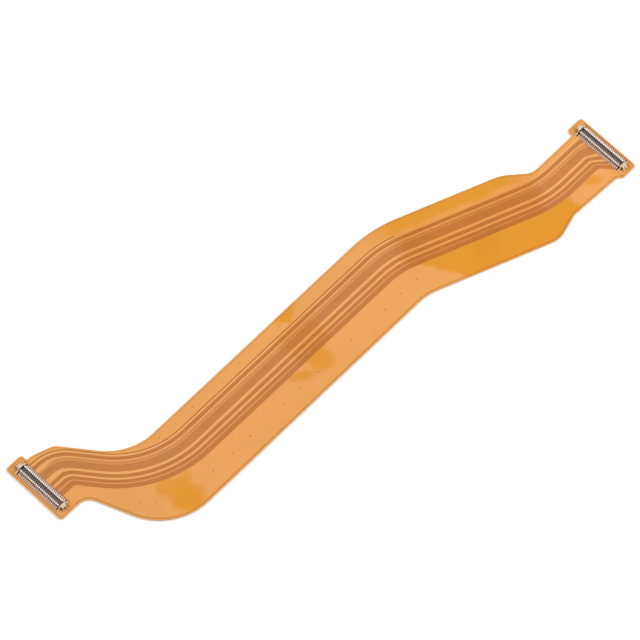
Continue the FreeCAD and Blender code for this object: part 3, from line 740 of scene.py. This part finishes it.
def bundle_pieces():
    """Bed of the bundle, a plain bar for each power track, and fine bars for each signal track."""
    bm = bmesh.new()
    edges = [rounded(bundle_chain(offset)) for offset in (BUNDLE_TOP, BUNDLE_LOW)]
    add_ribbon(bm, *edges, FILM_TOP, BED_TOP)
    new_piece("bundle_bed", bm, bed_look)
    counts = {"power_band": 0, "signal_traces": 0}
    upper = BUNDLE_TOP
    for kind, width in TRACKS:
        if kind.endswith("signal"):
            family, bars, share = "signal_traces", round(width / TRACE_PITCH), TRACE_SHARE
        else:
            family, bars, share = "power_band", 1, 1
        pitch = width / bars
        half = pitch / 2 * share
        bm = bmesh.new()
        for index in range(bars):
            middle = upper - pitch * (index + 0.5)
            edges = [rounded(bundle_chain(middle + side * half)) for side in (1, -1)]
            add_ribbon(bm, *edges, RELIEF_TOP, ZONE_TOP)
        counts[family] += 1
        new_piece("%s_%d" % (family, counts[family]), bm, TRACK_LOOKS[kind])
        upper -= width + TRACK_GAP


def ground_pieces():
    """Film over the ground copper above and below the bundle, between the two windows."""
    window = LAND_REACH + WINDOW_MARGIN
    start_x, end_x = PLUG_A[0] + window, PLUG_B[0] - window
    upper, above, below, lower = [rounded(cut_at(chain, start_x, end_x)) for chain in (
        shifted_chain(film_upper_chain(), -COPPER_INSET),
        bundle_chain(BUNDLE_TOP),
        bundle_chain(BUNDLE_LOW),
        shifted_chain(film_lower_chain(), COPPER_INSET),
    )]
    for name, outline, look in (("ground_zone_upper", above + upper[::-1], upper_look),
                                ("ground_zone_lower", lower + below[::-1], lower_look)):
        bm = bmesh.new()
        add_plate(bm, outline, FILM_TOP, ZONE_TOP)
        new_piece(name, bm, look)


def line_pieces():
    """Dark lines along the copper's edge, painted shade of its step, and in the gap between upper
    ground and bundle.
    """
    bm = bmesh.new()
    lower_chain = shifted_chain(film_lower_chain(), COPPER_INSET + LOWER_LINE_INSIDE)
    add_line(bm, lower_chain, LOWER_LINE_HALF, FILM_TOP, MARK_TOP)
    for chain in (shifted_chain(film_upper_chain(), -COPPER_INSET), *head_chains()):
        add_line(bm, chain, UPPER_LINE_HALF, FILM_TOP, MARK_TOP)
    new_piece("edge_lines", bm, edge_line_and_shade_look)
    bm = bmesh.new()
    middle = BUNDLE_TOP + GROUND_GAP / 2
    sides = [rounded(bundle_chain(middle + side * GAP_LINE_HALF)) for side in (1, -1)]
    shown = sum(x < GAP_LINE_END for x, y in sides[0])
    add_ribbon(bm, sides[0][:shown], sides[1][:shown], FILM_TOP, MARK_TOP)
    new_piece("ground_gap_line", bm, gap_look)


def via_piece():
    bm = bmesh.new()
    for x, y, radius in VIAS:
        add_via(bm, x, y, radius)
    new_piece("vias", bm, via_look)


def flare_piece():
    bm = bmesh.new()
    for offset, low, end_high, end_low in FLARES:
        above = [point for point in rounded(bundle_chain(offset)) if point[0] < end_high]
        add_plate(bm, above + [(end_low, low), (above[0][0], low)], RELIEF_TOP, MARK_TOP)
    new_piece("power_flares", bm, power_look)


# Round the plugs

def window_bed_piece(name, plug):
    """Dark film in the window, between the lands: partly the window's own dark colour, partly
    painted shade between the contact tails.
    """
    outline = [(plug[0] + across * LAND_REACH, plug[1] + up * LEG_PLACE)
               for across, up in ((1, 1), (-1, 1), (-1, -1), (1, -1))]
    bm = bmesh.new()
    add_plate(bm, outline, WINDOW_BED_LOW, WINDOW_BED_TOP)
    new_piece(name, bm, window_bed_and_shade_look)


def add_fillet(bm, plug, across, place, width):
    """Closed solder fillet on one side of a plug, at a place along it."""
    ends = []
    for side in (-1, 1):
        y = plug[1] + place + side * width * FILLET_HALF_SHARE
        ends.append(new_vertices(bm, [(plug[0] + across * x, y, z) for x, z in FILLET]))
    bm.faces.new(ends[0])
    bm.faces.new(ends[1][::-1])
    add_skin(bm, ends)


def solder_piece(name, plug):
    """Solder fillets at the ends of the contact tails and of the end legs."""
    bm = bmesh.new()
    middle = (CONTACTS - 1) / 2
    feet = [(PITCH * (index - middle), CONTACT_WIDTH) for index in range(CONTACTS)]
    feet += [(-LEG_PLACE, LEG_WIDTH), (LEG_PLACE, LEG_WIDTH)]
    for across in (1, -1):
        for place, width in feet:
            add_fillet(bm, plug, across, place, width)
    new_piece(name, bm, solder_look)


bundle_pieces()
ground_pieces()
line_pieces()
via_piece()
flare_piece()
window_bed_piece("window_bed_a", PLUG_A)
window_bed_piece("window_bed_b", PLUG_B)
solder_piece("solder_a", PLUG_A)
solder_piece("solder_b", PLUG_B)


# Floor, light and camera. Places and sizes are in metres here, the lens and its sensor in
# millimetres.

FLOOR_HALF = 3.0
FLOOR_DROP = 0.00002
FLOOR_GLOW = 0.26
SKY_BRIGHTNESS = 0.3
SENSOR_WIDTH = 36.0
LENS = 347.85
VIEW_TARGET = (-0.00101, -0.00002, 0.000335)
VIEW_REACH = (-0.2916, -0.2835, 0.9135)

# Square soft lights that face the object: name, place, width, and brightness, 1 being a white wall
SOFTBOXES = [
    ("key_softbox", (0.292, 0.284, 0.914), 0.5, 1.19),
    ("left_softbox", (-0.75, 0.75, 0.95), 1.1, 2.4),
    ("right_softbox", (0.32, -0.28, 0.38), 0.45, 3.2),
]


def pale_floor_material():
    """Pale floor that the camera sees as white, and that keeps the object's shadow."""
    material, tree, shader = new_material("pale_floor", roughness=0.9, specular=0.0)
    shader.inputs["Base Color"].default_value = (0.9, 0.9, 0.9, 1)
    shader.inputs["Emission Color"].default_value = (1, 1, 1, 1)
    path = tree.nodes.new("ShaderNodeLightPath")
    scaled = tree.nodes.new("ShaderNodeMath")
    scaled.operation = "MULTIPLY"
    scaled.inputs[1].default_value = FLOOR_GLOW
    tree.links.new(path.outputs["Is Camera Ray"], scaled.inputs[0])
    tree.links.new(scaled.outputs[0], shader.inputs["Emission Strength"])
    return material


def floor():
    half = FLOOR_HALF
    corners = [(-half, -half, 0), (half, -half, 0), (half, half, 0), (-half, half, 0)]
    mesh = bpy.data.meshes.new("floor")
    mesh.from_pydata(corners, [], [(0, 1, 2, 3)])
    mesh.materials.append(pale_floor_material())
    plane = bpy.data.objects.new("floor", mesh)
    bpy.context.scene.collection.objects.link(plane)
    plane.location.z = -FLOOR_DROP


def softbox(name, place, width, brightness):
    light = bpy.data.lights.new(name, "AREA")
    light.shape = "SQUARE"
    light.size = width
    light.energy = brightness * math.pi * width * width
    lamp = bpy.data.objects.new(name, light)
    lamp.location = place
    lamp.rotation_euler = (-Vector(place)).to_track_quat("-Z", "Y").to_euler()
    bpy.context.scene.collection.objects.link(lamp)


def world():
    sky = bpy.data.worlds.new("studio")
    sky.use_nodes = True
    background = sky.node_tree.nodes["Background"]
    background.inputs["Color"].default_value = (1, 1, 1, 1)
    background.inputs["Strength"].default_value = SKY_BRIGHTNESS
    bpy.context.scene.world = sky


def camera():
    target = Vector(VIEW_TARGET)
    lens = bpy.data.cameras.new("camera")
    lens.sensor_width = SENSOR_WIDTH
    lens.lens = LENS
    eye = bpy.data.objects.new("camera", lens)
    eye.location = target + Vector(VIEW_REACH)
    eye.rotation_euler = (target - eye.location).to_track_quat("-Z", "Y").to_euler()
    bpy.context.scene.collection.objects.link(eye)
    bpy.context.scene.camera = eye


floor()
world()
for name, place, width, brightness in SOFTBOXES:
    softbox(name, place, width, brightness)
camera()
bpy.context.scene.view_settings.view_transform = "Standard"
